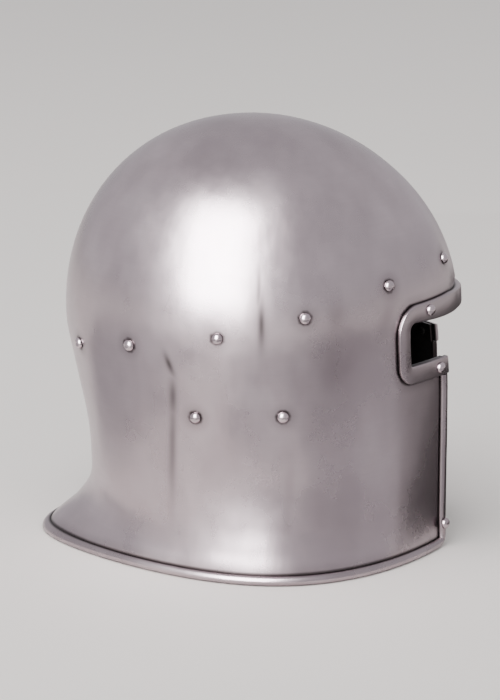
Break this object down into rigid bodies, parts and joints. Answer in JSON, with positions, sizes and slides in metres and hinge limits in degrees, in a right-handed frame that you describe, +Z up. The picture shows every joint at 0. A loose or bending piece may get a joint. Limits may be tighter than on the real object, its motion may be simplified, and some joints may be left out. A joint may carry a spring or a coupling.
{
  "type": "barbute helmet",
  "caption": "Open-faced steel barbute with a raised round bowl, T-shaped face opening, riveted eye trim, half-round cheek and rim strips and a flared nape.",
  "frame": {"origin": "on the floor under the middle of the helmet's box", "axes": "+Z up, the face looks towards -Y, the wearer's right side is -X"},
  "size_m": [0.221, 0.271, 0.2726],
  "materials": {
    "bowl_steel": "satin polished steel with soft hammer waves, faint smudges and light scuffs",
    "trim_steel": "satin polished flat steel band with bright worn edges",
    "strip_steel": "satin polished half-round steel strip, dark in the crease",
    "rivet_steel": "polished domed steel heads, dark where they meet the sheet"
  },
  "bodies": {
    "root": {"helmet_bowl": "bowl_steel", "eye_trim": "trim_steel", "cheek_strip_right": "strip_steel", "cheek_strip_left": "strip_steel", "rim_strip": "strip_steel", "lining_rivet_right_1": "rivet_steel", "lining_rivet_right_2": "rivet_steel", "lining_rivet_right_3": "rivet_steel", "lining_rivet_right_4": "rivet_steel", "lining_rivet_right_5": "rivet_steel", "lining_rivet_right_6": "rivet_steel", "chin_strap_rivet_right_1": "rivet_steel", "chin_strap_rivet_right_2": "rivet_steel", "brow_rivet_right": "rivet_steel", "cheek_rivet_right": "rivet_steel", "strip_rivet_right": "rivet_steel", "lining_rivet_left_1": "rivet_steel", "lining_rivet_left_2": "rivet_steel", "lining_rivet_left_3": "rivet_steel", "lining_rivet_left_4": "rivet_steel", "lining_rivet_left_5": "rivet_steel", "lining_rivet_left_6": "rivet_steel", "chin_strap_rivet_left_1": "rivet_steel", "chin_strap_rivet_left_2": "rivet_steel", "brow_rivet_left": "rivet_steel", "cheek_rivet_left": "rivet_steel", "strip_rivet_left": "rivet_steel"}
  },
  "joints": []
}
